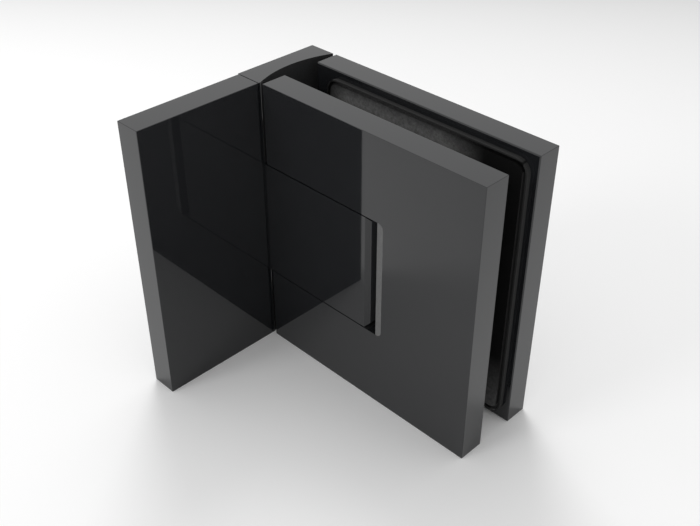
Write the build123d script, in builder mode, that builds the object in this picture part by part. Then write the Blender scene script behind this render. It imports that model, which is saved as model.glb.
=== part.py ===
"""Wall-to-glass door hinge with a one-sided wall plate.

A fixed knuckle block stands out from the wall plate and fills a window in a
two-plate glass clamp. The clamp turns on a vertical pin that passes through
the knuckle. Lengths are in millimetres: x = 0 is the wall, y = 0 the middle
of the clamp (front is -y) and z = 0 the middle of the hinge's height.
"""
import os
from math import sqrt

from build123d import *

os.makedirs("parts", exist_ok=True)

# ---------------------------------------------------------------- overall
HEIGHT = 90.0          # wall plate, cover and clamp plates alike
SHOULDER_H = 26.0      # clamp plates above and below the knuckle
EDGE_R = 0.15          # broken outer edges
EDGE_CHAMFER = 0.3     # broken inner edges of the clamp plates
FUSE = 0.4             # overlap of two shapes joined into one solid
SEAT_PLAY = 0.05       # between pieces that are screwed or pressed together
RUNNING = 0.05         # radial clearance of the pin and of the plunger

# ---------------------------------------------------------------- wall plate
BASE_T = 9.0           # the block that carries the knuckle
BASE_FRONT = 14.8      # its front side, from the clamp's middle plane
BASE_REAR = 14.4       # its rear side
FLANGE_T = 5.0         # screwed to the wall under the cover
WALL_HOLE_R = 3.0
WALL_SINK_R = 6.0
WALL_HOLES_Y = 20.0    # hole spacing along the flange
WALL_HOLE_INSET = 20.0  # from the hinge's upper and lower ends

# ---------------------------------------------------------------- cover
COVER_W = 40.95
COVER_T = 8.5
COVER_WALL = 2.0       # rim
COVER_SKIN = 1.8       # visible face
COVER_BACK = 0.5       # stands this far off the wall
COVER_SEAM = 0.3       # joint line beside the block
COVER_PLAY = 0.2       # rim to flange
SNAP_LENGTH = 20.0
SNAP_X = 1.6           # from the wall to the snap rib
SNAP_T = 1.4
SNAP_REACH = 0.8       # how far the rib reaches past the rim's inside

# ---------------------------------------------------------------- glass clamp
CLAMP_GAP = 1.2        # between the wall block and the clamp
CLAMP_W = 79.8
FRONT_T = 8.6
REAR_T = 7.9
GLASS_T = 9.5
GLASS_PLAY = 0.1
GASKET_T = 1.45
GASKET_INSET = 2.25    # from the plates' outer edges
GASKET_START = 5.5     # from the clamp's wall-side edge
GASKET_R = 4.0
GASKET_RIM_W = 0.5
GASKET_GROOVE_W = 0.95
GASKET_GROOVE_D = 1.0
GLASS_BITE = 12.0      # glass held above and below its cut-out
GLASS_DEPTH = 18.0     # glass held beside its cut-out
NOTCH_R = 3.0
NOTCH_CLEAR = 2.0      # from the cut-out's edge to the bosses

# ---------------------------------------------------------------- knuckle
PIVOT_OUT = 31.0       # pin axis, out from the block's face
SWEEP_CLEAR = 0.95     # between the block's hollow and the turning clamp
KNUCKLE_REACH = 12.0   # past the pin axis
KNUCKLE_CHAMFER = 1.32
END_CLEAR = 0.3        # around the sweep of the knuckle's end
WINDOW_GAP = 0.4       # above and below the knuckle
WINDOW_R = 1.8
TENON_W = 20.0
TENON_STEP = 1.5       # knuckle's upper and lower faces to the tenon's
TENON_X = 4.5          # tenon's end, out from the wall

# ---------------------------------------------------------------- buffers
STOP_GAP = 0.8         # buffer to knuckle with the door at a right angle
BUFFER_W = 2.1
BUFFER_D = 7.2
TONGUE_W = 1.2
TONGUE_T = 1.4
TONGUE_INSET = 4.4     # from the window's upper and lower edges

# ---------------------------------------------------------------- pin and bearings
PIN_D = 8.0
PIN_CHAMFER = 0.6
BUSH_WALL = 1.5
BUSH_L = 8.0
BUSH_FLANGE_R = 7.0
BUSH_FLANGE_T = 1.5
BORE_RELIEF = 0.3      # the knuckle's bore clears the pin between the bushes
WASHER_T = 1.1
WASHER_R = 5.6
AXIAL_PLAY = 0.08
BOSS_W = 20.0
BOSS_R = 3.0
BOSS_CLEAR = 0.3       # boss to rear plate
PIN_RECESS = 0.4       # pin end below the boss end

# ---------------------------------------------------------------- detent
PLUNGER_R = 6.0
PLUNGER_L = 10.0
PLUNGER_CHAMFER = 1.0
PLUNGER_STANDOFF = 0.1  # from the pin's full radius
CAM_FLAT = 0.8         # depth of the pin's three flats
CAM_H = 13.0
PLUG_T = 3.0
SPRING_WIRE_W = 1.6    # rectangular wire, across and along the spring
SPRING_WIRE_T = 1.4
SPRING_R = 4.2         # middle of the wire
SPRING_TURNS = 4.5

# ---------------------------------------------------------------- screws
CLAMP_SCREW_R = 3.0
CLAMP_HEAD_R = 6.0
CLAMP_SCREW_BITE = 5.6  # thread length in the front plate
CLAMP_SOCKET = 4.0
SLEEVE_R = 5.0
SLEEVE_CLEAR = 1.0     # to the bosses and to the edge of the cut-out
SLEEVE_PLAY = 0.2
KNUCKLE_SCREW_R = 2.5
KNUCKLE_HEAD_R = 4.6
KNUCKLE_SCREW_L = 17.0
KNUCKLE_SOCKET = 3.0
KNUCKLE_SCREW_INSET = 4.0  # from the tenon's upper and lower faces
SET_SCREW_R = 2.0
SET_SOCKET = 2.0
SET_FLAT = 0.5         # flat on the pin under each set screw
SET_FLAT_H = 7.0
HEAD_DROP = 0.2        # countersunk heads lie this far below their face
THREAD_PLAY = 0.02

# ---------------------------------------------------------------- derived places
CLAMP_T = FRONT_T + REAR_T + GLASS_T + GLASS_PLAY + 2 * GASKET_T
FRONT_Y = -CLAMP_T / 2             # outer face of the front plate
REAR_Y = CLAMP_T / 2               # outer face of the rear plate
FRONT_IN = FRONT_Y + FRONT_T       # inner faces
REAR_IN = REAR_Y - REAR_T
CLAMP_X0 = BASE_T + CLAMP_GAP
CLAMP_X1 = CLAMP_X0 + CLAMP_W
PIVOT_X = BASE_T + PIVOT_OUT
PIN_R = PIN_D / 2
KNUCKLE_H = HEIGHT - 2 * SHOULDER_H
PIVOT_AXIS = Axis((PIVOT_X, 0, 0), (0, 0, 1))

SCOOP_R = sqrt((PIVOT_X - CLAMP_X0) ** 2 + (CLAMP_T / 2) ** 2) + SWEEP_CLEAR
SEAT_R = SCOOP_R - SEAT_PLAY       # back of the knuckle, concentric with the pin
KNUCKLE_X1 = PIVOT_X + KNUCKLE_REACH
WINDOW_H = KNUCKLE_H + 2 * WINDOW_GAP
WINDOW_X1 = PIVOT_X + CLAMP_T / 2 + STOP_GAP + BUFFER_W
END_SWEEP_R = sqrt((KNUCKLE_REACH - KNUCKLE_CHAMFER) ** 2 + (CLAMP_T / 2) ** 2) + END_CLEAR
TENON_H = KNUCKLE_H - 2 * TENON_STEP
TONGUE_H = WINDOW_H - 2 * TONGUE_INSET
KNUCKLE_SCREW_Z = TENON_H / 2 - KNUCKLE_SCREW_INSET

COVER_Y1 = -BASE_FRONT - COVER_SEAM
COVER_Y0 = COVER_Y1 - COVER_W
FLANGE_Y0 = COVER_Y0 + COVER_WALL + COVER_PLAY
FLANGE_H = HEIGHT - 2 * (COVER_WALL + COVER_PLAY)
FLANGE_MID_Y = (FLANGE_Y0 - BASE_FRONT) / 2
WALL_HOLES_Z = HEIGHT - 2 * WALL_HOLE_INSET

NOTCH_H = HEIGHT - 2 * GLASS_BITE
NOTCH_X1 = CLAMP_X1 - GLASS_DEPTH
GASKET_X0 = CLAMP_X0 + GASKET_START
GASKET_X1 = CLAMP_X1 - GASKET_INSET
GASKET_Z = HEIGHT / 2 - GASKET_INSET

BOSS_Z0 = KNUCKLE_H / 2 + AXIAL_PLAY + WASHER_T
BOSS_H = NOTCH_H / 2 - NOTCH_CLEAR - BOSS_Z0
BOSS_MID_Z = BOSS_Z0 + BOSS_H / 2
PIN_TOP = BOSS_Z0 + BOSS_H - PIN_RECESS
BUSH_R = PIN_R + RUNNING + BUSH_WALL
BUSH_Z0 = KNUCKLE_H / 2 - BUSH_L
BUSH_FLANGE_Z = KNUCKLE_H / 2 - BUSH_FLANGE_T

PLUNGER_TIP = PIVOT_X - PIN_R - PLUNGER_STANDOFF
PLUNGER_BACK = PLUNGER_TIP - PLUNGER_L
PLUG_FACE = TENON_X + PLUG_T
DETENT_BORE_R = PLUNGER_R + RUNNING

TENON_BACK = PIVOT_X - sqrt(SEAT_R**2 - (TENON_W / 2) ** 2)

# Clamp screws stand midway between the window and the edge of the cut-out.
SCREW_Z = (WINDOW_H + NOTCH_H) / 4
SCREW_NEAR_X = PIVOT_X - BOSS_W / 2 - SLEEVE_CLEAR - SLEEVE_R
SCREW_FAR_X = NOTCH_X1 - SLEEVE_CLEAR - SLEEVE_R
CLAMP_SCREWS = {
    "near_upper": (SCREW_NEAR_X, SCREW_Z),
    "near_lower": (SCREW_NEAR_X, -SCREW_Z),
    "far_upper": (SCREW_FAR_X, SCREW_Z),
    "far_lower": (SCREW_FAR_X, -SCREW_Z),
}
SIDES = {"upper": 1, "lower": -1}

# Sketch planes whose first axis is x and whose second is z.
FRONT_FACE = Plane.XZ.offset(-FRONT_Y)
FRONT_INSIDE = Plane.XZ.offset(-FRONT_IN)
REAR_INSIDE = Plane.XZ.offset(-REAR_IN)


def toward_x(x):
    """Plane across the x axis at x, first axis y, second axis z."""
    return Plane.YZ.offset(x)


# ---------------------------------------------------------------- wall plate
with BuildPart() as wall_base:
    # The block beside the cover, as high as the hinge.
    with BuildSketch(toward_x(0)):
        with Locations((-BASE_FRONT, 0)):
            Rectangle(BASE_FRONT + BASE_REAR, HEIGHT, align=(Align.MIN, Align.CENTER))
    extrude(amount=BASE_T)
    wall_side = wall_base.faces().sort_by(Axis.X)[0].edges()
    seam_side = wall_base.faces().sort_by(Axis.Y)[0].edges()
    fillet(wall_base.edges() - wall_side - seam_side, radius=EDGE_R)
    # The thinner flange that the cover hides.
    with BuildSketch(toward_x(0)):
        with Locations((FLANGE_Y0, 0)):
            Rectangle(-BASE_FRONT - FLANGE_Y0 + FUSE, FLANGE_H, align=(Align.MIN, Align.CENTER))
    extrude(amount=FLANGE_T)
    # Hollow that the clamp's wall-side corners sweep through.
    with BuildSketch(Plane.XY):
        with Locations((PIVOT_X, 0)):
            Circle(SCOOP_R)
    extrude(amount=HEIGHT / 2, both=True, mode=Mode.SUBTRACT)
    # Pocket for the knuckle's tenon.
    with BuildSketch(toward_x(TENON_X - SEAT_PLAY)):
        Rectangle(TENON_W + 2 * SEAT_PLAY, TENON_H + 2 * SEAT_PLAY)
    extrude(amount=BASE_T, mode=Mode.SUBTRACT)
    # Grooves in the flange's upper and lower edges take the cover's snap ribs.
    with BuildSketch(toward_x(SNAP_X - COVER_PLAY)):
        with Locations((FLANGE_MID_Y, FLANGE_H / 2), (FLANGE_MID_Y, -FLANGE_H / 2)):
            Rectangle(SNAP_LENGTH + 2 * COVER_PLAY, 2 * SNAP_REACH)
    extrude(amount=SNAP_T + 2 * COVER_PLAY, mode=Mode.SUBTRACT)
    # Countersunk wall screw holes.
    with Locations(Plane((FLANGE_T, FLANGE_MID_Y, 0), x_dir=(0, 1, 0), z_dir=(1, 0, 0))):
        with GridLocations(WALL_HOLES_Y, WALL_HOLES_Z, 2, 2):
            CounterSinkHole(WALL_HOLE_R, WALL_SINK_R, counter_sink_angle=90)
    # Countersunk holes for the knuckle screws, from behind.
    with Locations(Plane((0, 0, 0), x_dir=(0, 1, 0), z_dir=(-1, 0, 0))):
        with GridLocations(1, 2 * KNUCKLE_SCREW_Z, 1, 2):
            CounterSinkHole(
                KNUCKLE_SCREW_R + SEAT_PLAY,
                KNUCKLE_HEAD_R + HEAD_DROP + SEAT_PLAY,
                depth=TENON_X,
                counter_sink_angle=90,
            )
wall_base.part.label = "wall_base"
export_step(wall_base.part, "parts/wall_base.step")

# ---------------------------------------------------------------- cover
with BuildPart() as cover_plate:
    with BuildSketch(toward_x(COVER_BACK)):
        with Locations((COVER_Y1, 0)):
            Rectangle(COVER_W, HEIGHT, align=(Align.MAX, Align.CENTER))
    extrude(amount=COVER_T)
    wall_side = cover_plate.faces().sort_by(Axis.X)[0].edges()
    seam_side = cover_plate.faces().sort_by(Axis.Y)[-1].edges()
    fillet(cover_plate.edges() - wall_side - seam_side, radius=EDGE_R)
    # Hollow behind, open to the wall and to the block's side.
    with BuildSketch(toward_x(COVER_BACK)):
        with Locations((COVER_Y1, 0)):
            Rectangle(COVER_W - COVER_WALL, HEIGHT - 2 * COVER_WALL, align=(Align.MAX, Align.CENTER))
    extrude(amount=COVER_T - COVER_SKIN, mode=Mode.SUBTRACT)
    # Snap ribs inside the rim, above and below the flange.
    with BuildSketch(toward_x(SNAP_X)):
        with Locations((FLANGE_MID_Y, HEIGHT / 2 - COVER_WALL), (FLANGE_MID_Y, COVER_WALL - HEIGHT / 2)):
            Rectangle(SNAP_LENGTH, 2 * SNAP_REACH)
    extrude(amount=SNAP_T)
cover_plate.part.label = "cover_plate"
export_step(cover_plate.part, "parts/cover_plate.step")

# ---------------------------------------------------------------- knuckle block
with BuildPart() as knuckle_block:
    tail_x = PIVOT_X - sqrt(SEAT_R**2 - (CLAMP_T / 2) ** 2)
    with BuildSketch(Plane.XY):
        with BuildLine():
            Polyline((tail_x, FRONT_Y), (KNUCKLE_X1, FRONT_Y), (KNUCKLE_X1, REAR_Y), (tail_x, REAR_Y))
            ThreePointArc((tail_x, REAR_Y), (PIVOT_X - SEAT_R, 0), (tail_x, FRONT_Y))
        make_face()
    extrude(amount=KNUCKLE_H / 2, both=True)
    chamfer(knuckle_block.faces().sort_by(Axis.X)[-1].edges(), length=KNUCKLE_CHAMFER)
    # Tenon that sits in the wall plate.
    with BuildSketch(toward_x(TENON_X)):
        Rectangle(TENON_W, TENON_H)
    extrude(amount=TENON_BACK - TENON_X + FUSE)
    # Stepped bore: flange seats, bush seats and a relief between them.
    with BuildSketch(Plane.XZ):
        with BuildLine():
            half_bore = [
                (PIVOT_X + PIN_R + BORE_RELIEF, 0),
                (PIVOT_X + PIN_R + BORE_RELIEF, BUSH_Z0),
                (PIVOT_X + BUSH_R, BUSH_Z0),
                (PIVOT_X + BUSH_R, BUSH_FLANGE_Z),
                (PIVOT_X + BUSH_FLANGE_R + SEAT_PLAY, BUSH_FLANGE_Z),
                (PIVOT_X + BUSH_FLANGE_R + SEAT_PLAY, KNUCKLE_H / 2),
                (PIVOT_X, KNUCKLE_H / 2),
                (PIVOT_X, 0),
            ]
            Polyline(*half_bore, close=True)
        make_face()
        mirror(about=Plane.XZ)
    revolve(axis=PIVOT_AXIS, mode=Mode.SUBTRACT)
    # Bore for the plug, spring and plunger, from the tenon to the pin.
    with BuildSketch(toward_x(TENON_X)):
        Circle(DETENT_BORE_R)
    extrude(amount=PLUNGER_TIP + BORE_RELIEF - TENON_X, mode=Mode.SUBTRACT)
    # Tapped holes for the knuckle screws.
    with Locations(Plane((TENON_X, 0, 0), x_dir=(0, 1, 0), z_dir=(-1, 0, 0))):
        with GridLocations(1, 2 * KNUCKLE_SCREW_Z, 1, 2):
            Hole(KNUCKLE_SCREW_R + THREAD_PLAY, depth=KNUCKLE_SCREW_L)
knuckle_block.part.label = "knuckle_block"
export_step(knuckle_block.part, "parts/knuckle_block.step")


def countersunk_screw(name, face_point, inward, radius, head_radius, length, socket):
    """Countersunk socket screw whose head lies just below face_point."""
    direction = Vector(*inward)
    head = Vector(*face_point) + direction * HEAD_DROP
    across = Vector(0, 0, 1) if abs(direction.Z) < 0.5 else Vector(1, 0, 0)
    cone = head_radius - radius
    with BuildPart() as screw:
        with BuildSketch(Plane(head, x_dir=direction, z_dir=across)):
            with BuildLine():
                Polyline(
                    (0, 0),
                    (0, head_radius),
                    (cone, radius),
                    (length, radius),
                    (length, 0),
                    close=True,
                )
            make_face()
        revolve(axis=Axis(head, direction))
        with BuildSketch(Plane(head, x_dir=across, z_dir=direction)):
            RegularPolygon(socket / 2, 6, major_radius=False)
        extrude(amount=cone, mode=Mode.SUBTRACT)
    screw.part.label = name
    export_step(screw.part, f"parts/{name}.step")


for side, sign in SIDES.items():
    countersunk_screw(
        f"knuckle_screw_{side}",
        (0, 0, sign * KNUCKLE_SCREW_Z),
        (1, 0, 0),
        KNUCKLE_SCREW_R,
        KNUCKLE_HEAD_R,
        KNUCKLE_SCREW_L,
        KNUCKLE_SOCKET,
    )

# ---------------------------------------------------------------- flanged bushes
for side, sign in SIDES.items():
    with BuildPart() as pin_bush:
        with BuildSketch(Plane.XZ):
            with BuildLine():
                Polyline(
                    (PIVOT_X + PIN_R + RUNNING, sign * BUSH_Z0),
                    (PIVOT_X + BUSH_R, sign * BUSH_Z0),
                    (PIVOT_X + BUSH_R, sign * BUSH_FLANGE_Z),
                    (PIVOT_X + BUSH_FLANGE_R, sign * BUSH_FLANGE_Z),
                    (PIVOT_X + BUSH_FLANGE_R, sign * KNUCKLE_H / 2),
                    (PIVOT_X + PIN_R + RUNNING, sign * KNUCKLE_H / 2),
                    close=True,
                )
            make_face()
        revolve(axis=PIVOT_AXIS)
    pin_bush.part.label = f"pin_bush_{side}"
    export_step(pin_bush.part, f"parts/pin_bush_{side}.step")

# ---------------------------------------------------------------- detent
with BuildPart() as spring_plug:
    with BuildSketch(toward_x(TENON_X)):
        Circle(PLUNGER_R)
    extrude(amount=PLUG_T)
    with BuildSketch(toward_x(TENON_X)):
        RegularPolygon(KNUCKLE_SOCKET, 6, major_radius=False)
    extrude(amount=PLUG_T / 2, mode=Mode.SUBTRACT)
spring_plug.part.label = "spring_plug"
export_step(spring_plug.part, "parts/spring_plug.step")

with BuildPart() as detent_spring:
    spring_x0 = PLUG_FACE + SPRING_WIRE_T / 2 + SEAT_PLAY
    spring_run = PLUNGER_BACK - PLUG_FACE - SPRING_WIRE_T - 2 * SEAT_PLAY
    with BuildLine():
        coil = Helix(
            pitch=spring_run / SPRING_TURNS,
            height=spring_run,
            radius=SPRING_R,
            center=(spring_x0, 0, 0),
            direction=(1, 0, 0),
        )
    outward = coil @ 0 - Vector(spring_x0, 0, 0)
    with BuildSketch(Plane(coil @ 0, x_dir=outward, z_dir=coil % 0)):
        Rectangle(SPRING_WIRE_W, SPRING_WIRE_T)
    sweep(path=coil, is_frenet=True)
detent_spring.part.label = "detent_spring"
export_step(detent_spring.part, "parts/detent_spring.step")

with BuildPart() as detent_plunger:
    with BuildSketch(toward_x(PLUNGER_BACK)):
        Circle(PLUNGER_R)
    extrude(amount=PLUNGER_L)
    chamfer(detent_plunger.edges().sort_by(Axis.X)[-1], length=PLUNGER_CHAMFER)
detent_plunger.part.label = "detent_plunger"
export_step(detent_plunger.part, "parts/detent_plunger.step")


def clamp_outline():
    """Outer rectangle shared by the clamp plates, in x and z."""
    with BuildSketch() as outline:
        with Locations((CLAMP_X0, 0)):
            Rectangle(CLAMP_W, HEIGHT, align=(Align.MIN, Align.CENTER))
    return outline.sketch


def outer_edges(plate, outward):
    """Edges of a plate's outer face and of its four corners."""
    ordered = plate.faces().sort_by(Axis.Y)
    outer_face = ordered[-1] if outward > 0 else ordered[0]
    return outer_face.edges() + plate.edges().filter_by(Axis.Y)


def window_outline():
    """Window that the knuckle fills, open at the clamp's wall-side edge."""
    with BuildSketch() as outline:
        with Locations((WINDOW_X1, 0)):
            Rectangle(WINDOW_X1 - BASE_T, WINDOW_H, align=(Align.MAX, Align.CENTER))
        fillet(outline.vertices().group_by(Axis.X)[-1], radius=WINDOW_R)
    return outline.sketch


def end_sweep():
    """Circle, in x and y, inside which the knuckle's end passes."""
    with BuildSketch() as outline:
        with Locations((PIVOT_X, 0)):
            Circle(END_SWEEP_R)
    return outline.sketch


def buffer_outline():
    """The end of the window, as wide as the buffer."""
    with BuildSketch() as outline:
        add(window_outline())
        with Locations((WINDOW_X1 - BUFFER_W, 0)):
            Rectangle(
                BUFFER_W + FUSE,
                WINDOW_H,
                align=(Align.MIN, Align.CENTER),
                mode=Mode.INTERSECT,
            )
    return outline.sketch


def tongue_outline(play):
    """Section, in x and y, of the tongue that holds the front buffer in its plate."""
    with BuildSketch() as outline:
        with Locations((WINDOW_X1 - FUSE, FRONT_Y + BUFFER_D / 2)):
            Rectangle(
                TONGUE_W + FUSE + play, TONGUE_T + 2 * play, align=(Align.MIN, Align.CENTER)
            )
    return outline.sketch


def gasket_outline():
    """C-shaped pad around the cut-out of the glass, in x and z."""
    with BuildSketch() as outline:
        with Locations((GASKET_X0, 0)):
            RectangleRounded(
                GASKET_X1 - GASKET_X0, 2 * GASKET_Z, GASKET_R, align=(Align.MIN, Align.CENTER)
            )
        with Locations((NOTCH_X1, 0)):
            Rectangle(
                NOTCH_X1 - CLAMP_X0, NOTCH_H, align=(Align.MAX, Align.CENTER), mode=Mode.SUBTRACT
            )
        inner = outline.vertices().filter_by_position(
            Axis.Y, -NOTCH_H / 2, NOTCH_H / 2, inclusive=(True, True)
        )
        fillet(inner, radius=NOTCH_R)
    return outline.sketch


# ---------------------------------------------------------------- front plate
with BuildPart() as front_plate:
    with BuildSketch(FRONT_FACE):
        add(clamp_outline())
    extrude(amount=-FRONT_T)
    chamfer(front_plate.faces().sort_by(Axis.Y)[-1].edges(), length=EDGE_CHAMFER)
    fillet(outer_edges(front_plate.part, -1), radius=EDGE_R)
    with BuildSketch(FRONT_FACE):
        add(window_outline())
    extrude(amount=-FRONT_T, mode=Mode.SUBTRACT)
    # The window's rounded corners give way to the knuckle's end.
    with BuildSketch(Plane.XY):
        add(end_sweep())
    extrude(amount=WINDOW_H / 2, both=True, mode=Mode.SUBTRACT)
    # Bosses above and below the knuckle hold the pin.
    with BuildSketch(FRONT_INSIDE):
        with Locations((PIVOT_X, BOSS_MID_Z), (PIVOT_X, -BOSS_MID_Z)):
            RectangleRounded(BOSS_W, BOSS_H, BOSS_R)
    extrude(amount=-(REAR_IN - FRONT_IN - BOSS_CLEAR))
    with BuildSketch(Plane.XY):
        with Locations((PIVOT_X, 0)):
            Circle(PIN_R + THREAD_PLAY)
    extrude(amount=HEIGHT / 2, both=True, mode=Mode.SUBTRACT)
    # Tapped holes for the pin's set screws and for the clamp screws.
    with Locations(Plane((PIVOT_X + BOSS_W / 2, 0, 0), x_dir=(0, 1, 0), z_dir=(1, 0, 0))):
        with GridLocations(1, 2 * BOSS_MID_Z, 1, 2):
            Hole(SET_SCREW_R + THREAD_PLAY, depth=BOSS_W / 2)
    for x, z in CLAMP_SCREWS.values():
        with Locations(Plane((x, FRONT_IN, z), z_dir=(0, 1, 0))):
            Hole(CLAMP_SCREW_R + THREAD_PLAY, depth=CLAMP_SCREW_BITE + SEAT_PLAY)
    # Groove for the buffer's tongue.
    with BuildSketch(Plane.XY):
        add(tongue_outline(SEAT_PLAY))
    extrude(amount=TONGUE_H / 2 + SEAT_PLAY, both=True, mode=Mode.SUBTRACT)
front_plate.part.label = "front_plate"
export_step(front_plate.part, "parts/front_plate.step")

# ---------------------------------------------------------------- rear plate
with BuildPart() as rear_plate:
    with BuildSketch(REAR_INSIDE):
        add(clamp_outline())
    extrude(amount=-REAR_T)
    chamfer(rear_plate.faces().sort_by(Axis.Y)[0].edges(), length=EDGE_CHAMFER)
    fillet(outer_edges(rear_plate.part, 1), radius=EDGE_R)
    with BuildSketch(REAR_INSIDE):
        add(window_outline())
    extrude(amount=-REAR_T, mode=Mode.SUBTRACT)
    with BuildSketch(Plane.XY):
        add(end_sweep())
    extrude(amount=WINDOW_H / 2, both=True, mode=Mode.SUBTRACT)
    for x, z in CLAMP_SCREWS.values():
        with Locations(Plane((x, REAR_Y, z), z_dir=(0, 1, 0))):
            CounterSinkHole(
                CLAMP_SCREW_R + SLEEVE_PLAY,
                CLAMP_HEAD_R + HEAD_DROP + SEAT_PLAY,
                depth=REAR_T,
                counter_sink_angle=90,
            )
    with BuildSketch(Plane.XY):
        add(tongue_outline(SEAT_PLAY).mirror(Plane.XZ))
    extrude(amount=TONGUE_H / 2 + SEAT_PLAY, both=True, mode=Mode.SUBTRACT)
rear_plate.part.label = "rear_plate"
export_step(rear_plate.part, "parts/rear_plate.step")


def buffer(name, mirrored):
    """Stop strip flush with a plate's outer face, held by a tongue."""
    with BuildPart() as strip:
        with BuildSketch(FRONT_FACE):
            add(buffer_outline())
        extrude(amount=-BUFFER_D)
        # The back is hollowed to let the knuckle's end pass.
        with BuildSketch(Plane.XY):
            add(end_sweep())
        extrude(amount=WINDOW_H / 2, both=True, mode=Mode.SUBTRACT)
        with BuildSketch(Plane.XY):
            add(tongue_outline(0))
        extrude(amount=TONGUE_H / 2, both=True)
        if mirrored:
            mirror(about=Plane.XZ, mode=Mode.REPLACE)
    strip.part.label = name
    export_step(strip.part, f"parts/{name}.step")


buffer("front_buffer", mirrored=False)
buffer("rear_buffer", mirrored=True)


def gasket(name, seat_y, toward):
    """Pad on a plate's inner face, with a groove just inside its rim."""
    with BuildPart() as pad:
        with BuildSketch(Plane.XZ.offset(-seat_y)):
            add(gasket_outline())
        extrude(amount=-toward * GASKET_T)
        with BuildSketch(Plane.XZ.offset(-(seat_y + toward * GASKET_T))):
            add(gasket_outline())
            offset(amount=-GASKET_RIM_W, mode=Mode.REPLACE)
            with BuildSketch(mode=Mode.PRIVATE) as middle:
                add(gasket_outline())
                offset(amount=-GASKET_RIM_W - GASKET_GROOVE_W, mode=Mode.REPLACE)
            add(middle.sketch, mode=Mode.SUBTRACT)
        extrude(amount=toward * GASKET_GROOVE_D, mode=Mode.SUBTRACT)
    pad.part.label = name
    export_step(pad.part, f"parts/{name}.step")


gasket("front_gasket", FRONT_IN, 1)
gasket("rear_gasket", REAR_IN, -1)

# ---------------------------------------------------------------- pivot pin
with BuildPart() as pivot_pin:
    with BuildSketch(Plane.XY):
        with Locations((PIVOT_X, 0)):
            Circle(PIN_R)
    extrude(amount=PIN_TOP, both=True)
    chamfer(pivot_pin.faces().filter_by(Plane.XY).edges(), length=PIN_CHAMFER)
    # Three flats face the plunger with the door closed and at each right angle.
    with BuildSketch(Plane.XY):
        with Locations((PIVOT_X, 0)):
            with PolarLocations(PIN_D - CAM_FLAT, 3, start_angle=90, angular_range=180, endpoint=True):
                Rectangle(PIN_D, PIN_D)
    extrude(amount=CAM_H / 2, both=True, mode=Mode.SUBTRACT)
    # Flats under the set screws.
    for sign in SIDES.values():
        with BuildSketch(Plane.XY.offset(sign * BOSS_MID_Z)):
            with Locations((PIVOT_X + PIN_R - SET_FLAT, 0)):
                Rectangle(PIN_D, PIN_D, align=(Align.MIN, Align.CENTER))
        extrude(amount=SET_FLAT_H / 2, both=True, mode=Mode.SUBTRACT)
pivot_pin.part.label = "pivot_pin"
export_step(pivot_pin.part, "parts/pivot_pin.step")

# ---------------------------------------------------------------- thrust washers, set screws
for side, sign in SIDES.items():
    with BuildPart() as thrust_washer:
        with BuildSketch(Plane.XY.offset(sign * BOSS_Z0)):
            with Locations((PIVOT_X, 0)):
                Circle(WASHER_R)
                Circle(PIN_R + RUNNING, mode=Mode.SUBTRACT)
        extrude(amount=-sign * WASHER_T)
    thrust_washer.part.label = f"thrust_washer_{side}"
    export_step(thrust_washer.part, f"parts/thrust_washer_{side}.step")

    with BuildPart() as pin_set_screw:
        set_x0 = PIVOT_X + PIN_R - SET_FLAT + SEAT_PLAY
        set_x1 = PIVOT_X + BOSS_W / 2 - HEAD_DROP
        with BuildSketch(toward_x(set_x0)):
            with Locations((0, sign * BOSS_MID_Z)):
                Circle(SET_SCREW_R)
        extrude(amount=set_x1 - set_x0)
        with BuildSketch(toward_x(set_x1)):
            with Locations((0, sign * BOSS_MID_Z)):
                RegularPolygon(SET_SOCKET / 2, 6, major_radius=False)
        extrude(amount=-SET_SCREW_R, mode=Mode.SUBTRACT)
    pin_set_screw.part.label = f"pin_set_screw_{side}"
    export_step(pin_set_screw.part, f"parts/pin_set_screw_{side}.step")

# ---------------------------------------------------------------- clamp screws and sleeves
for place, (x, z) in CLAMP_SCREWS.items():
    countersunk_screw(
        f"clamp_screw_{place}",
        (x, REAR_Y, z),
        (0, -1, 0),
        CLAMP_SCREW_R,
        CLAMP_HEAD_R,
        REAR_Y - HEAD_DROP - FRONT_IN + CLAMP_SCREW_BITE,
        CLAMP_SOCKET,
    )
    with BuildPart() as screw_sleeve:
        with BuildSketch(Plane.XZ.offset(-(REAR_IN - SLEEVE_PLAY))):
            with Locations((x, z)):
                Circle(SLEEVE_R)
                Circle(CLAMP_SCREW_R + SLEEVE_PLAY, mode=Mode.SUBTRACT)
        extrude(amount=REAR_IN - FRONT_IN - 2 * SLEEVE_PLAY)
    screw_sleeve.part.label = f"screw_sleeve_{place}"
    export_step(screw_sleeve.part, f"parts/screw_sleeve_{place}.step")
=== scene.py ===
"""Studio scene for the wall-to-glass door hinge: finishes, spring, floor, light and camera.

Everything is in metres, in the frame of the CAD model: x = 0 is the wall,
y = 0 the middle of the glass clamp and z = 0 the middle of the hinge's height.
Where a comment says so, limits are in millimetres or decimetres instead.
"""
import math

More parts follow.
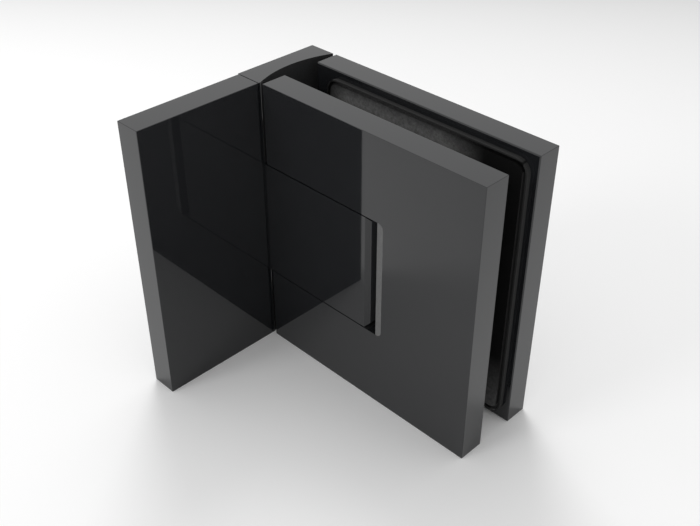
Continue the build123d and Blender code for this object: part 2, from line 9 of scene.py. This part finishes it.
import bmesh
import bpy
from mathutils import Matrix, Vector


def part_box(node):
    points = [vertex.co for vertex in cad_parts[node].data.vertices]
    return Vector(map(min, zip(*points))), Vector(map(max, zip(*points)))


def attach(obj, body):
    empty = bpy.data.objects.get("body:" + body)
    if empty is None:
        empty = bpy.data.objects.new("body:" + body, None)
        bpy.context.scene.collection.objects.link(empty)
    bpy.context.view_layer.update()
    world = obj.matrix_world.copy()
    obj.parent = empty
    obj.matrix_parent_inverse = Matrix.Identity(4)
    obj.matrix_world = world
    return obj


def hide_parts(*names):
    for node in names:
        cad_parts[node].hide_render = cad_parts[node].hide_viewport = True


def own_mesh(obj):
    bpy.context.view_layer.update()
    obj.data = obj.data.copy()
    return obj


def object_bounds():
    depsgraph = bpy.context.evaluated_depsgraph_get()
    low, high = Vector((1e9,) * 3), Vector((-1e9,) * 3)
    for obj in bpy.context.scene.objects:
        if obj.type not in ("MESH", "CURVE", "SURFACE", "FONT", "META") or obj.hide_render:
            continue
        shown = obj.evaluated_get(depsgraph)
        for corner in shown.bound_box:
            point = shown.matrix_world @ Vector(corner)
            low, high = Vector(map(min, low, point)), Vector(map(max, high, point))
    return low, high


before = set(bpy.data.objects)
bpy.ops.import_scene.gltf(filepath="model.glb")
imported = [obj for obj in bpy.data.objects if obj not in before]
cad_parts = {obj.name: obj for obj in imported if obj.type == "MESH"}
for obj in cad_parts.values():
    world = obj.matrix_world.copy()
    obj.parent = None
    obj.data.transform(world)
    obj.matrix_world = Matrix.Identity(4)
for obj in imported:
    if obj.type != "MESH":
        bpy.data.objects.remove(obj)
CAD_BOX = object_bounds()
FLOOR_Z = CAD_BOX[0].z
MM = 0.001
DECIMETRE = 0.1


def add_object(name, data):
    """New object in the scene."""
    thing = bpy.data.objects.new(name, data)
    bpy.context.scene.collection.objects.link(thing)
    return thing


# ---------------------------------------------------------------- camera
CAMERA_AIM = Vector((0.0439, -0.0135, 0.0))
CAMERA_DIRECTION = Vector((1, -1, 1)).normalized()  # from the hinge to the camera
CAMERA_DISTANCE = 0.2806
CAMERA_LENS = 50.28       # in mm, as is the sensor's width
CAMERA_SENSOR = 36
CAMERA_NEAREST = 0.01
CAMERA_FARTHEST = 50


def make_camera():
    """Camera above the corner between the cover plate and the clamp's front."""
    data = bpy.data.cameras.new("camera")
    data.lens = CAMERA_LENS
    data.sensor_width = CAMERA_SENSOR
    data.clip_start = CAMERA_NEAREST
    data.clip_end = CAMERA_FARTHEST
    camera = add_object("camera", data)
    camera.location = CAMERA_AIM + CAMERA_DIRECTION * CAMERA_DISTANCE
    camera.rotation_euler = (-CAMERA_DIRECTION).to_track_quat("-Z", "Y").to_euler()
    bpy.context.scene.camera = camera


# ---------------------------------------------------------------- node helpers
MIX_FACTOR, MIX_FIRST, MIX_SECOND, MIX_RESULT = 0, 6, 7, 2  # a Mix node's colour sockets


class Nodes:
    """A node tree with short calls to add and join nodes."""

    def __init__(self, tree):
        self.nodes = tree.nodes
        self.links = tree.links

    def add(self, kind, inputs=(), **settings):
        """Adds a node, sets its properties and fills or links its inputs."""
        node = self.nodes.new(kind)
        for key, value in settings.items():
            setattr(node, key, value)
        for key, value in dict(inputs).items():
            self.put(node, key, value)
        return node

    def put(self, node, key, value):
        """Links a socket to an input, or sets the input's value."""
        if isinstance(value, bpy.types.NodeSocket):
            self.links.new(value, node.inputs[key])
        else:
            node.inputs[key].default_value = value

    def spread(self, value, low, high, start=0.3, end=0.7):
        """Maps start to end onto low to high; noise mostly runs from 0.3 to 0.7."""
        inputs = {
            "Value": value,
            "From Min": start,
            "From Max": end,
            "To Min": low,
            "To Max": high,
        }
        return self.add("ShaderNodeMapRange", inputs).outputs["Result"]

    def mix_value(self, factor, first, second):
        """Number between first and second."""
        return self.spread(factor, first, second, start=0.0, end=1.0)

    def math(self, operation, first, second):
        """Arithmetic on two values or sockets."""
        inputs = {0: first, 1: second}
        return self.add("ShaderNodeMath", inputs, operation=operation).outputs[0]

    def limited(self, value, low, high):
        """Value kept between low and high."""
        return self.math("MINIMUM", self.math("MAXIMUM", value, low), high)

    def seen(self):
        """1 for rays from the camera and for mirrored ones, 0 for diffuse light."""
        path = self.add("ShaderNodeLightPath").outputs
        mirrored = self.math("MAXIMUM", path["Is Glossy Ray"], path["Is Transmission Ray"])
        return self.math("MAXIMUM", path["Is Camera Ray"], mirrored)


class Shader(Nodes):
    """A material's nodes, around its principled shader."""

    def __init__(self, name):
        self.material = bpy.data.materials.new(name)
        self.material.use_nodes = True
        super().__init__(self.material.node_tree)
        self.surface = self.nodes["Principled BSDF"]

    def set(self, **values):
        """Sets inputs of the principled shader; underscores stand for spaces."""
        for key, value in values.items():
            self.put(self.surface, key.replace("_", " "), value)

    def place(self):
        """Position on the piece, in metres, which turns with the piece."""
        return self.add("ShaderNodeTexCoord").outputs["Object"]

    def stretched(self, scale):
        """Position scaled along each axis, for brushed and turned grain."""
        inputs = {"Vector": self.place(), "Scale": scale}
        return self.add("ShaderNodeMapping", inputs).outputs["Vector"]

    def along(self, direction, unit):
        """Distance from the origin along a direction, in that unit."""
        inputs = {0: self.place(), 1: Vector(direction).normalized() / unit}
        node = self.add("ShaderNodeVectorMath", inputs, operation="DOT_PRODUCT")
        return node.outputs["Value"]

    def noise(self, size, detail=2.0, roughness=0.5, vector=None):
        """Noise from 0 to 1 whose features are about size metres."""
        inputs = {
            "Vector": vector or self.place(),
            "Scale": 1 / size,
            "Detail": detail,
            "Roughness": roughness,
        }
        return self.add("ShaderNodeTexNoise", inputs).outputs["Fac"]

    def mix(self, factor, first, second):
        """Colour between first and second."""
        inputs = {MIX_FACTOR: factor, MIX_FIRST: first, MIX_SECOND: second}
        return self.add("ShaderNodeMix", inputs, data_type="RGBA").outputs[MIX_RESULT]

    def bump(self, height, distance):
        """Raised detail; distance is its height in metres."""
        inputs = {"Height": height, "Distance": distance}
        return self.add("ShaderNodeBump", inputs).outputs["Normal"]


def grey(value, tint=(1.0, 1.0, 1.0)):
    """Grey of that linear brightness, as a node colour."""
    return (value * tint[0], value * tint[1], value * tint[2], 1.0)


# ---------------------------------------------------------------- lacquer
COOL = (0.95, 1.0, 1.1)   # slightly blue, as the black lacquer is
LACQUER_DARK = grey(0.0126, COOL)
LACQUER_LIGHT = grey(0.0158, COOL)
LACQUER_ROUGHNESS = (0.03, 0.045)
LACQUER_IOR = 1.51
ORANGE_PEEL = 0.2e-6      # height of its waves

# How dark and how rough the satin parts are; the recesses' darker colour is painted shade.
KNUCKLE_SATIN = (grey(0.032, COOL), 0.5)
RECESS_SATIN_AND_SHADE = (grey(0.006, COOL), 0.8)
SATIN_UNEVEN = (0.9, 1.1)  # share of the roughness that its grain gives

# Where they lie, in mm from the wall, from the clamp's middle or from half height.
KNUCKLE_END = 51.9        # just inside the knuckle's flat face towards the glass
HOLLOW_FRONT = 8.95       # just inside the block's front
HOLLOW_HALF = 14.35       # half of the width of the hollow in it
HOLLOW_TOP = 44.9         # just inside the block's ends
WINDOW_END = 52.0         # where the satin ends on the window's walls
WINDOW_DEPTH = 14.35      # just inside the clamp's outer faces
WINDOW_HALF = 19.45       # half of the window's height


def gloss(shader):
    """Polished black lacquer over metal, with faint orange peel."""
    cloud = shader.noise(size=9 * MM, detail=3)
    colour = shader.mix(cloud, LACQUER_DARK, LACQUER_LIGHT)
    roughness = shader.spread(shader.noise(size=6 * MM), *LACQUER_ROUGHNESS)
    shader.set(
        Base_Color=colour,
        Roughness=roughness,
        IOR=LACQUER_IOR,
        Normal=shader.bump(shader.noise(size=8 * MM, detail=0), ORANGE_PEEL),
    )
    return colour, roughness


def part_satin(shader, satin, tone, roughness):
    """Polished lacquer that is left satin where satin is 1."""
    colour, polish = gloss(shader)
    grain = shader.noise(size=0.4 * MM, detail=4)
    uneven = shader.spread(grain, *(roughness * share for share in SATIN_UNEVEN))
    shader.set(
        Base_Color=shader.mix(satin, colour, tone),
        Roughness=shader.mix_value(satin, polish, uneven),
    )
    return shader.material


def within(shader, **limits):
    """1 where the distances from the origin along x, y and z are below these, in mm."""
    inside = 1
    for name, limit in limits.items():
        direction = [float(name == axis) for axis in "xyz"]
        distance = shader.math("ABSOLUTE", shader.along(direction, MM), 0)
        inside = shader.math("MULTIPLY", inside, shader.math("LESS_THAN", distance, limit))
    return inside


def black_gloss():
    """Polished lacquer of the cover."""
    shader = Shader("black_gloss")
    gloss(shader)
    return shader.material


def knuckle_finish():
    """Polished knuckle with a satin face towards the glass."""
    shader = Shader("knuckle_gloss")
    satin = shader.math("SUBTRACT", 1, within(shader, x=KNUCKLE_END))
    return part_satin(shader, satin, *KNUCKLE_SATIN)


def base_finish():
    """Polished block with a satin hollow behind the knuckle, coloured darker there as painted
    shade.
    """
    shader = Shader("base_gloss")
    satin = within(shader, x=HOLLOW_FRONT, y=HOLLOW_HALF, z=HOLLOW_TOP)
    return part_satin(shader, satin, *RECESS_SATIN_AND_SHADE)


def plate_finish():
    """Polished plate with satin walls in the window, coloured darker there as painted shade.
    """
    shader = Shader("plate_gloss")
    satin = within(shader, x=WINDOW_END, y=WINDOW_DEPTH, z=WINDOW_HALF)
    return part_satin(shader, satin, *RECESS_SATIN_AND_SHADE)


# ---------------------------------------------------------------- rubber and nylon
PAD_PAINTED_LIGHT = (grey(0.11), grey(0.32))
PAD_DARK = (grey(0.002), grey(0.006))
PAD_RIM = grey(0.031)
PAD_SPECULAR = 0.15

# Painted light: the pad's upper and lower legs, which run along the clamp, and its foot get a
# lighter colour.
# Places are in mm from the wall or from half height, and shares go from 0 to 1.
PAD_LEG_START_X = (16, 24)
PAD_LEG_END_X = (60, 74)
PAD_LEG_RIM_Z = (38, 42)  # up or down, where the legs darken towards the rim
PAD_FOOT_Z = (-44, -22)
PAD_START_SHARE = 0.05    # how much painted light the legs get at their start and next to the rim and how much the foot gets at its lower end
PAD_RIM_SHARE = 0.13      # and next to the rim
PAD_FOOT_SHARE = 0.6      # and how bleached the foot is at its lower end
PAD_RIM_X = 86.2          # inner edges of the pad's rim
PAD_RIM_Z = 42.2


def buffer_grey():
    """Satin grey rubber strip."""
    shader = Shader("buffer_grey")
    grain = shader.noise(size=0.45 * MM, detail=4, roughness=0.7)
    speck = shader.spread(grain, low=0.0, high=1.0)
    shader.set(
        Base_Color=shader.mix(speck, grey(0.095), grey(0.15)),
        Roughness=shader.spread(shader.noise(size=2 * MM), low=0.42, high=0.55),
        Normal=shader.bump(speck, distance=8e-6),
    )
    return shader.material


def gasket_rubber():
    """Matt black pad with a pebbled bump; a lighter grainy colour on its legs and foot is
    painted light.
    """
    shader = Shader("gasket_rubber")
    grain = shader.noise(size=0.8 * MM, detail=5, roughness=0.75)
    fine = shader.noise(size=0.22 * MM, detail=3, roughness=0.65)
    x = shader.along((1, 0, 0), MM)
    z = shader.along((0, 0, 1), MM)
    height = shader.math("ABSOLUTE", z, 0)
    # Painted light: lighter on the legs and the foot, fading at the legs' start and end and
    # next to the rim.
    start = shader.spread(x, PAD_START_SHARE, 1.0, *PAD_LEG_START_X)
    end = shader.spread(x, 1.0, 0.0, *PAD_LEG_END_X)
    edge = shader.spread(height, 1.0, PAD_RIM_SHARE, *PAD_LEG_RIM_Z)
    leg = shader.math("MULTIPLY", shader.math("MULTIPLY", start, end), edge)
    foot = shader.spread(z, PAD_FOOT_SHARE, 0.0, *PAD_FOOT_Z)
    painted_light_mask = shader.math("MAXIMUM", leg, foot)
    painted_light_colour = shader.mix(shader.spread(grain, low=0.0, high=1.0), *PAD_PAINTED_LIGHT)
    dark = shader.mix(shader.spread(fine, low=0.0, high=1.0), *PAD_DARK)
    rim = shader.math(
        "MAXIMUM",
        shader.math("GREATER_THAN", x, PAD_RIM_X),
        shader.math("GREATER_THAN", height, PAD_RIM_Z),
    )
    shader.set(
        Base_Color=shader.mix(rim, shader.mix(painted_light_mask, dark, painted_light_colour), PAD_RIM),
        Roughness=shader.spread(shader.noise(size=3 * MM), low=0.6, high=0.75),
        Specular_IOR_Level=PAD_SPECULAR,
        Normal=shader.bump(fine, distance=30e-6),
    )
    return shader.material


def nylon():
    """Moulded natural nylon of the washers, sleeves and plug."""
    shader = Shader("nylon")
    cloud = shader.noise(size=2 * MM, detail=4)
    shader.set(
        Base_Color=shader.mix(cloud, (0.6, 0.58, 0.52, 1), (0.7, 0.68, 0.62, 1)),
        Roughness=shader.spread(cloud, low=0.4, high=0.55),
        Subsurface_Weight=0.1,
        Normal=shader.bump(shader.noise(size=0.15 * MM, detail=3), distance=6e-6),
    )
    return shader.material


# ---------------------------------------------------------------- metals
METAL_UNEVEN = (0.8, 1.3)  # share of the roughness that the lines give


def metal(name, dark, light, roughness, grain):
    """Machined metal with lathe or brush lines; grain is how close they lie on each axis."""
    shader = Shader(name)
    lines = shader.noise(size=1 * MM, detail=5, vector=shader.stretched(grain))
    shader.set(
        Base_Color=shader.mix(lines, dark, light),
        Metallic=1.0,
        Roughness=shader.spread(lines, *(roughness * share for share in METAL_UNEVEN)),
        Normal=shader.bump(lines, distance=3e-6),
    )
    return shader.material


def steel():
    """Ground stainless steel of the pin, plunger and set screws."""
    warm = (1, 0.99, 0.97)
    return metal("steel", grey(0.38, warm), grey(0.5), roughness=0.25, grain=(1, 1, 12))


def spring_steel():
    """Blued spring wire."""
    blue = (0.95, 1, 1.1)
    return metal("spring_steel", grey(0.2, blue), grey(0.32), roughness=0.3, grain=(8, 1, 1))


def bronze():
    """Sintered bronze of the bushes."""
    dark, light = (0.42, 0.24, 0.1, 1), (0.55, 0.34, 0.15, 1)
    return metal("bronze", dark, light, roughness=0.35, grain=(1, 1, 6))


def black_screw():
    """Black oxide screws, a little oily."""
    shader = Shader("black_screw")
    cloud = shader.noise(size=0.8 * MM, detail=5)
    shader.set(
        Base_Color=shader.mix(cloud, grey(0.012), grey(0.03)),
        Metallic=0.6,
        Roughness=shader.spread(cloud, low=0.28, high=0.42),
        Normal=shader.bump(shader.noise(size=0.12 * MM, detail=3), distance=4e-6),
    )
    return shader.material


# ---------------------------------------------------------------- finishes on the nodes
FINISHES = {
    "black_gloss": black_gloss,
    "buffer_grey": buffer_grey,
    "gasket_rubber": gasket_rubber,
    "steel": steel,
    "spring_steel": spring_steel,
    "black_screw": black_screw,
    "bronze": bronze,
    "nylon": nylon,
}

NODE_FINISHES = {
    "knuckle_block": knuckle_finish,
    "wall_base": base_finish,
    "front_plate": plate_finish,
    "rear_plate": plate_finish,
}


def finish_nodes():
    """Gives every CAD node its own finish, or that of its record slot."""
    made = {}
    for node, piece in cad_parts.items():
        for holder in piece.material_slots:
            name = holder.material.name.split(".")[0]
            maker = NODE_FINISHES.get(node, FINISHES[name])
            if maker not in made:
                made[maker] = maker()
            holder.material = made[maker]
    return made


# ---------------------------------------------------------------- detent spring
SPRING_TURNS = 4.5
SPRING_START = math.radians(90)   # round the spring's axis, from +y towards +z
SPRING_WIRE = (1.6 * MM, 1.4 * MM)  # across and along the spring
SPRING_CORNER = 0.15 * MM
SPRING_STEPS = 40                 # per turn


def wire_section():
    """Corners of the chamfered flat wire, outwards and along the spring."""
    across, along = (side / 2 for side in SPRING_WIRE)
    flat, rise = across - SPRING_CORNER, along - SPRING_CORNER
    quarter = [(across, rise), (flat, along)]
    return [
        (out * side, up * end)
        for side, end in ((1, 1), (-1, 1), (-1, -1), (1, -1))
        for out, up in (quarter if side * end > 0 else quarter[::-1])
    ]


def coil_mesh(name, low, high):
    """Flat-wire coil along x that fills the box from low to high."""
    radius = (high.z - low.z - SPRING_WIRE[0]) / 2
    run = high.x - low.x - SPRING_WIRE[1]
    section = wire_section()
    sides = len(section)
    steps = round(SPRING_TURNS * SPRING_STEPS)
    points, faces = [], []
    for step in range(steps + 1):
        turn = SPRING_START + 2 * math.pi * SPRING_TURNS * step / steps
        start = low.x + SPRING_WIRE[1] / 2 + run * step / steps
        for out, up in section:
            reach = radius + out
            points.append((start + up, reach * math.cos(turn), reach * math.sin(turn)))
    for first in range(0, steps * sides, sides):
        for side in range(sides):
            after = (side + 1) % sides
            ring = (first + side, first + after)
            faces.append((*ring, ring[1] + sides, ring[0] + sides))
    faces.append(tuple(reversed(range(sides))))
    faces.append(tuple(range(steps * sides, (steps + 1) * sides)))
    mesh = bpy.data.meshes.new(name)
    mesh.from_pydata(points, [], faces)
    whole = bmesh.new()
    whole.from_mesh(mesh)
    bmesh.ops.recalc_face_normals(whole, faces=whole.faces)
    whole.to_mesh(mesh)
    whole.free()
    return mesh


def make_spring(finish):
    """Coil behind the plunger, built in the CAD spring's box in its place."""
    low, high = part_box("detent_spring")
    mesh = coil_mesh("detent_spring_coil", low, high)
    mesh.materials.append(finish)
    coil = add_object("detent_spring_coil", mesh)
    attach(coil, "wall_side")
    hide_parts("detent_spring")
    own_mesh(coil)


# ---------------------------------------------------------------- light
DOME = 0.645              # light of the white surroundings on dull surfaces
LAMP_DISTANCE = 1.4
LAMPS = {
    # name: (light on the floor, diameter, height and turn from +x, both in degrees)
    "key": (0.21, 0.55, 50, 142),
    "top": (0.11, 0.8, 70, 137),
    "fill": (0.068, 0.45, 30, 255),
}


def make_world():
    """White surroundings, which light dull surfaces a little less than they show."""
    world = bpy.data.worlds.new("studio")
    world.use_nodes = True
    sky = Nodes(world.node_tree)
    background = sky.nodes["Background"]
    sky.put(background, "Color", grey(1.0))
    sky.put(background, "Strength", sky.mix_value(sky.seen(), DOME, 1.0))
    bpy.context.scene.world = world


def make_lamps():
    """Round soft lamps; the key stands high behind the hinge, whose shadow falls in front."""
    for name, (light, diameter, height, turn) in LAMPS.items():
        height, turn = math.radians(height), math.radians(turn)
        lamp = bpy.data.lights.new(name, "AREA")
        lamp.shape = "DISK"
        lamp.size = diameter
        # watts that give the level floor that much light, where 1 shows its colour as written
        lamp.energy = light * math.pi**2 * LAMP_DISTANCE**2 / math.sin(height)
        holder = add_object(name, lamp)
        flat = math.cos(height)
        towards = Vector((flat * math.cos(turn), flat * math.sin(turn), math.sin(height)))
        holder.location = towards * LAMP_DISTANCE
        holder.rotation_euler = towards.to_track_quat("Z", "Y").to_euler()
        holder.visible_glossy = False


# ---------------------------------------------------------------- floor
FLOOR_SIZE = 8.0
FLOOR_ROUGHNESS = 0.9
FLOOR_GREY = 1.019        # tone under the hinge, where 1 is white
FLOOR_LIGHTEST = 1.0      # colour of the floor itself; above it, it glows a little
FLOOR_GLOW = 0.03         # at most

# Painted light falloff: how much darker the tone gets per decimetre, and where that stops, in
# decimetres.
SWEEP_RIGHT = 0.036
SWEEP_RIGHT_SPAN = (-3, 4)
SWEEP_BACK = 0.022
SWEEP_BACK_SPAN = (-1, 3)
SWEEP_FAR = 0.0078        # with this power of the distance to the back
SWEEP_FAR_POWER = 3

# Distances from the hinge, in decimetres.
FAR_FLOOR = 4.0           # beyond it the floor fades back to white
FAR_FADE = 10.0           # where it is white again
FAR_WHITE = 16.0          # where it glows enough to meet the white surroundings


def shade_floor(shader):
    """Pale sweep, lightest to the left and in front: painted light falloff, which glows where
    it passes white.
    """
    right = shader.limited(shader.along((1, 1, 0), DECIMETRE), *SWEEP_RIGHT_SPAN)
    back = shader.limited(shader.along((-1, 1, 0), DECIMETRE), *SWEEP_BACK_SPAN)
    across = shader.math("SUBTRACT", FLOOR_GREY, shader.math("MULTIPLY", right, SWEEP_RIGHT))
    near = shader.math("MULTIPLY", back, SWEEP_BACK)
    curve = shader.math("POWER", shader.math("MAXIMUM", back, 0), SWEEP_FAR_POWER)
    far = shader.math("MULTIPLY", curve, SWEEP_FAR)
    away = shader.math("SUBTRACT", shader.math("SUBTRACT", 1, near), far)
    tone = shader.math("MULTIPLY", across, away)
    tone = shader.math("MINIMUM", tone, FLOOR_LIGHTEST + FLOOR_GLOW)
    reach = shader.along((1, 0, 0), DECIMETRE), shader.along((0, 1, 0), DECIMETRE)
    squares = (shader.math("MULTIPLY", side, side) for side in reach)
    apart = shader.math("SQRT", shader.math("ADD", *squares), 0)
    tone = shader.mix_value(shader.spread(apart, 0.0, 1.0, FAR_FLOOR, FAR_FADE), tone, 1.0)
    colour = shader.math("MINIMUM", tone, FLOOR_LIGHTEST)
    lift = shader.spread(apart, 0.0, 1 - DOME, FAR_FLOOR, FAR_WHITE)
    glow = shader.math("ADD", shader.math("SUBTRACT", tone, colour), lift)
    shader.set(
        Base_Color=colour,
        Roughness=FLOOR_ROUGHNESS,
        Specular_IOR_Level=0.0,
        Emission_Color=grey(1.0),
        Emission_Strength=shader.math("MULTIPLY", glow, shader.seen()),
    )


def make_floor():
    """Plain pale floor under the hinge's lower ends."""
    half = FLOOR_SIZE / 2
    mesh = bpy.data.meshes.new("floor")
    corners = ((-half, -half), (half, -half), (half, half), (-half, half))
    mesh.from_pydata([(x, y, FLOOR_Z) for x, y in corners], [], [range(len(corners))])
    shader = Shader("floor")
    shade_floor(shader)
    mesh.materials.append(shader.material)
    add_object("floor", mesh)


bpy.context.scene.view_settings.view_transform = "Standard"
make_camera()
make_world()
make_floor()
make_lamps()
finishes = finish_nodes()
make_spring(finishes[spring_steel])
